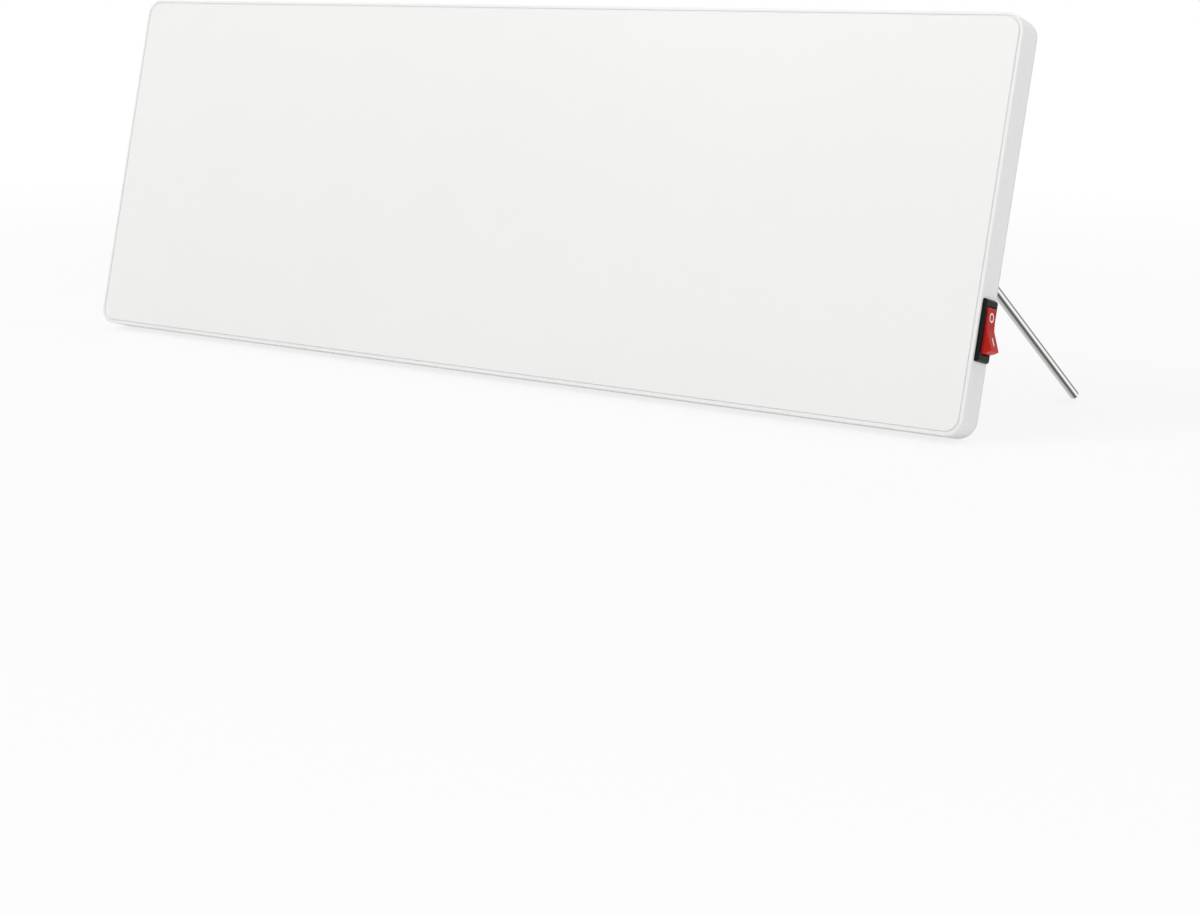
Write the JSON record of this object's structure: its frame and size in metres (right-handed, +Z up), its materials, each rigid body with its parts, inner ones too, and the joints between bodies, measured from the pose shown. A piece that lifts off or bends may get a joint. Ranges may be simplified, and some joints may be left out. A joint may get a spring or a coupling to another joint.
{
  "type": "infrared panel heater",
  "caption": "Slim white infrared panel heater leaning back on folding rod legs, with a red rocker switch in its end face and swivelling mounting ears behind.",
  "frame": {"origin": "on the floor, under the middle of the standing part's box", "axes": "+X along the panel towards the switch end, +Y from the front towards the legs, +Z up"},
  "size_m": [0.6111, 0.157, 0.2035],
  "materials": {
    "frame_white": "satin white moulded plastic",
    "plate_white": "smooth white baked coating on aluminium",
    "seal_grey": "soft silicone",
    "carbon_film": "matt carbon laminate",
    "copper": "bare copper",
    "insulation": "pressed mineral fibre",
    "cover_white": "fine-grained white moulded plastic",
    "zinc_steel": "zinc-plated steel",
    "switch_black": "black moulded plastic",
    "rocker_red": "clear red moulded plastic",
    "mark_white": "white printed mark",
    "plunger_white": "natural acetal",
    "brass": "tinned brass",
    "lamp_glass": "clear glass",
    "sleeve_clear": "milky soft plastic",
    "block_white": "white nylon",
    "cutout_black": "black phenolic",
    "silicone": "soft silicone",
    "aluminium": "bare aluminium",
    "gland_black": "black nylon",
    "bright_steel": "bright plated steel rod",
    "wire_brown": "silicone insulation",
    "wire_black": "silicone insulation",
    "wire_blue": "silicone insulation",
    "wire_green": "silicone insulation"
  },
  "bodies": {
    "panel": {"frame": "frame_white", "front_plate": "plate_white", "plate_seal": "seal_grey", "heating_film": "carbon_film", "film_busbars": "copper", "film_tags": "copper", "insulation_pad": "insulation", "rear_cover": "cover_white", "cover_screws": "zinc_steel", "switch_housing": "switch_black", "switch_tabs": "brass", "switch_lamp": "lamp_glass", "switch_receptacles": "sleeve_clear", "terminal_block": "block_white", "terminal_block_tubes": "brass", "terminal_block_screws": "zinc_steel", "overheat_cutout": "cutout_black", "cutout_press_pad": "silicone", "thermal_fuse": "zinc_steel", "fuse_sleeve": "silicone", "wire_clips": "block_white", "earth_stud": "aluminium", "earth_tag": "zinc_steel", "earth_nut": "zinc_steel", "cord_gland": "gland_black", "gland_nut": "gland_black", "strap_screws": "zinc_steel", "live_supply_wire": "wire_brown", "switched_live_wire": "wire_black", "cutout_link_wire": "wire_black", "element_live_wire": "wire_black", "neutral_wire": "wire_blue", "lamp_neutral_wire": "wire_blue", "earth_wire": "wire_green", "right_leg_strap": "zinc_steel", "right_ear_washer": "plunger_white", "right_ear_rivet": "zinc_steel", "left_leg_strap": "zinc_steel", "left_ear_washer": "plunger_white", "left_ear_rivet": "zinc_steel"},
    "right_leg": {"right_leg": "bright_steel", "right_leg_ring": "zinc_steel"},
    "left_leg": {"left_leg": "bright_steel", "left_leg_ring": "zinc_steel"},
    "right_ear": {"right_ear": "zinc_steel"},
    "left_ear": {"left_ear": "zinc_steel"},
    "rocker": {"switch_rocker": "rocker_red", "rocker_marks": "mark_white", "switch_plunger": "plunger_white"},
    "contact_blade": {"switch_contact_blade": "copper"}
  },
  "joints": [
    {"name": "right_leg_fold", "type": "hinge", "parent": "panel", "child": "right_leg", "pos_m": [0.279, -0.03704, 0.11073], "axis": [0, 0.248, 0.9687], "range_deg": [0, 95]},
    {"name": "left_leg_fold", "type": "hinge", "parent": "panel", "child": "left_leg", "pos_m": [-0.279, -0.03704, 0.11073], "axis": [0, -0.248, -0.9687], "range_deg": [0, 95]},
    {"name": "right_ear_swivel", "type": "hinge", "parent": "panel", "child": "right_ear", "pos_m": [0.285, -0.02643, 0.1332], "axis": [0, 0.9687, -0.248], "range_deg": [0, 90]},
    {"name": "left_ear_swivel", "type": "hinge", "parent": "panel", "child": "left_ear", "pos_m": [-0.285, -0.02643, 0.1332], "axis": [0, -0.9687, 0.248], "range_deg": [0, 90]},
    {"name": "rocker_tilt", "type": "hinge", "parent": "panel", "child": "rocker", "pos_m": [0.3004, -0.05691, 0.05326], "axis": [0, 0.9687, -0.248], "range_deg": [0, 26]},
    {"name": "contact_blade_tilt", "type": "hinge", "parent": "panel", "child": "contact_blade", "pos_m": [0.2899, -0.05691, 0.05326], "axis": [0, 0.9687, -0.248], "range_deg": [-15.6, 0]}
  ],
  "couplings": [
    {"joint": "contact_blade_tilt", "follows": "rocker_tilt", "ratio": -0.6}
  ]
}
